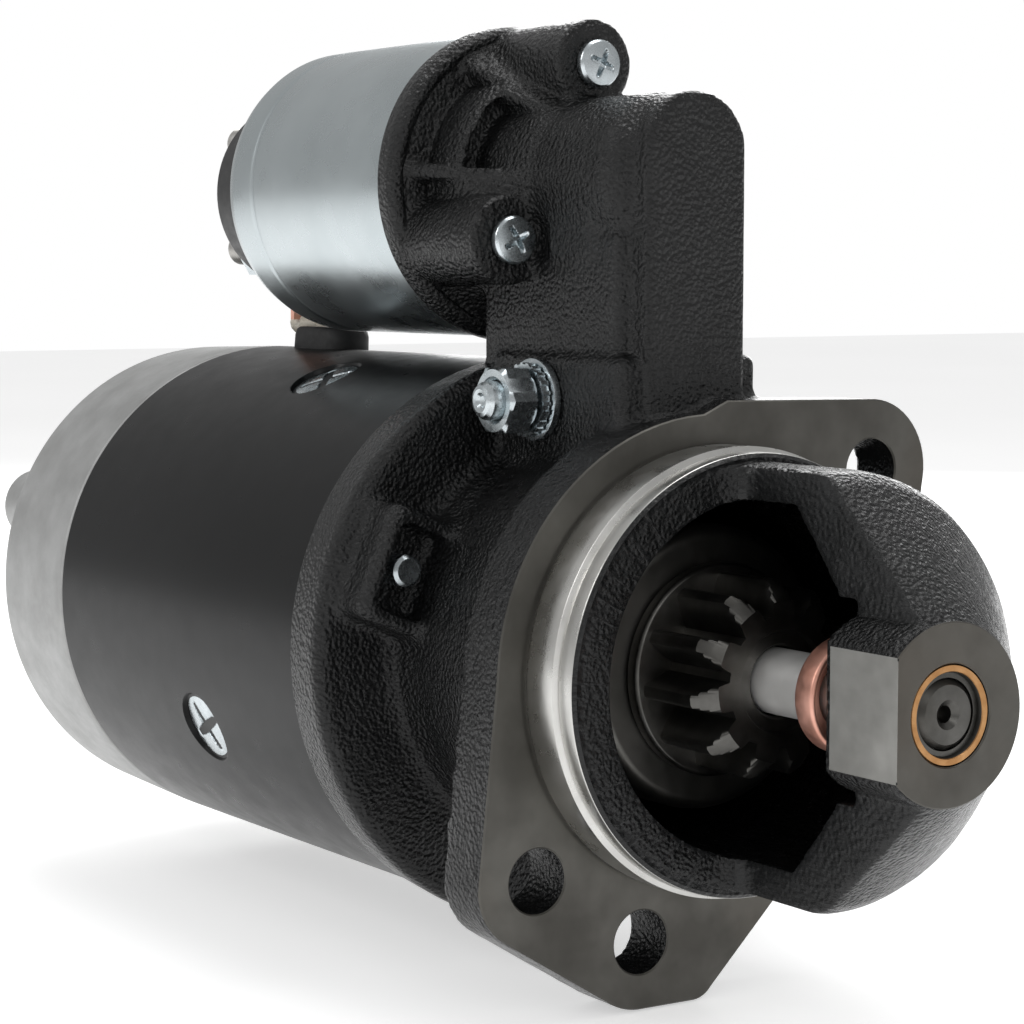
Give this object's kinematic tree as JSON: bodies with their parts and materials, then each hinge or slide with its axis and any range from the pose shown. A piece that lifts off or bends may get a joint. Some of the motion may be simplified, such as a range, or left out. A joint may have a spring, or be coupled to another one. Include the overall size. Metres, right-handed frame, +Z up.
{
  "type": "starter motor",
  "caption": "Pre-engaged starter motor: cast drive housing with an open nose window, cylindrical motor, solenoid on top, fork lever, sliding pinion and roller clutch.",
  "frame": {"origin": "where the pinion shaft's axis crosses the front face of the mounting flange", "axes": "+X along the shaft from the motor to the nose, +Z up to the solenoid, so the open window of the nose faces -Y"},
  "size_m": [0.3046, 0.1226, 0.1974],
  "materials": {
    "black_casting": "semi-gloss black paint over rough sand-cast iron, bare where machined",
    "black_paint": "satin black paint on rolled steel",
    "cast_aluminium": "matt as-cast aluminium",
    "zinc_plate": "bright bluish zinc plating",
    "ground_steel": "ground",
    "hardened_steel": "dark, oiled, case hardened",
    "lamination_steel": "stacked sheet",
    "copper": "pinkish copper plate",
    "sintered_bronze": "sintered, oil filled",
    "varnished_winding": "varnished copper wire",
    "carbon": "pressed carbon and copper",
    "moulded_plastic": "glass-filled moulding",
    "rubber": "matt black",
    "woven_sleeve": "cream woven glass sleeve over braid"
  },
  "bodies": {
    "motor": {"drive_end_housing": "black_casting", "field_housing": "black_paint", "rear_cover": "cast_aluminium", "solenoid_body": "zinc_plate", "end_cap": "zinc_plate", "end_cap_screw_1": "zinc_plate", "end_cap_screw_2": "zinc_plate", "through_bolt_1": "zinc_plate", "through_bolt_2": "zinc_plate", "pole_screw_1": "zinc_plate", "pole_screw_2": "zinc_plate", "pole_screw_3": "zinc_plate", "pole_screw_4": "zinc_plate", "pivot_bolt": "zinc_plate", "pivot_nut": "zinc_plate", "lock_washer": "zinc_plate", "flat_washer": "zinc_plate", "solenoid_screw_1": "zinc_plate", "solenoid_screw_2": "zinc_plate", "solenoid_screw_3": "zinc_plate", "battery_nut": "zinc_plate", "motor_nut": "zinc_plate", "switch_terminal": "zinc_plate", "brush_plate": "zinc_plate", "plunger_spring": "ground_steel", "pole_shoe_1": "lamination_steel", "pole_shoe_2": "lamination_steel", "pole_shoe_3": "lamination_steel", "pole_shoe_4": "lamination_steel", "solenoid_core": "lamination_steel", "battery_stud": "copper", "motor_stud": "copper", "nose_bush": "sintered_bronze", "rear_bush": "sintered_bronze", "field_coil_1": "varnished_winding", "field_coil_2": "varnished_winding", "field_coil_3": "varnished_winding", "field_coil_4": "varnished_winding", "solenoid_coil": "varnished_winding", "brush_1": "carbon", "brush_2": "carbon", "brush_3": "carbon", "brush_4": "carbon", "terminal_cap": "moulded_plastic", "grommet": "rubber", "field_lead": "woven_sleeve"},
    "armature": {"armature_shaft": "ground_steel", "armature_core": "lamination_steel", "winding_front": "varnished_winding", "winding_rear": "varnished_winding", "commutator": "copper", "stop_collar": "copper"},
    "guide": {"guide_ring": "moulded_plastic", "meshing_spring": "ground_steel"},
    "clutch": {"clutch_shell": "hardened_steel", "guide_sleeve": "ground_steel"},
    "pinion_gear": {"pinion": "hardened_steel"},
    "fork": {"fork_lever": "black_casting"},
    "plunger_rod": {"plunger": "ground_steel"},
    "contact": {"contact_bridge": "copper"}
  },
  "joints": [
    {"name": "armature_spin", "type": "hinge", "parent": "motor", "child": "armature", "pos_m": [0, 0, 0], "axis": [1, 0, 0], "continuous": true},
    {"name": "plunger_slide", "type": "slide", "parent": "motor", "child": "plunger_rod", "axis": [-1, 0, 0], "range_m": [0, 0.012], "stiffness_N_per_m": 800, "springref_m": -0.012, "deforming": ["plunger_spring"]},
    {"name": "fork_swing", "type": "hinge", "parent": "motor", "child": "fork", "pos_m": [-0.0355, 0, 0.0522], "axis": [0, -1, 0], "range_deg": [0, 15.39]},
    {"name": "drive_slide", "type": "slide", "parent": "motor", "child": "guide", "axis": [1, 0, 0], "range_m": [0, 0.01411]},
    {"name": "contact_slide", "type": "slide", "parent": "motor", "child": "contact", "axis": [-1, 0, 0], "range_m": [0, 0.003]},
    {"name": "clutch_spin", "type": "hinge", "parent": "guide", "child": "clutch", "pos_m": [0, 0, 0], "axis": [1, 0, 0], "continuous": true},
    {"name": "pinion_overrun", "type": "hinge", "parent": "clutch", "child": "pinion_gear", "pos_m": [0, 0, 0], "axis": [1, 0, 0], "continuous": true}
  ],
  "couplings": [
    {"joint": "fork_swing", "follows": "plunger_slide", "rad_per_m": 22.387},
    {"joint": "drive_slide", "follows": "plunger_slide", "ratio": 1.1757},
    {"joint": "contact_slide", "follows": "plunger_slide", "ratio": 0.25},
    {"joint": "clutch_spin", "follows": "armature_spin", "ratio": 1}
  ]
}
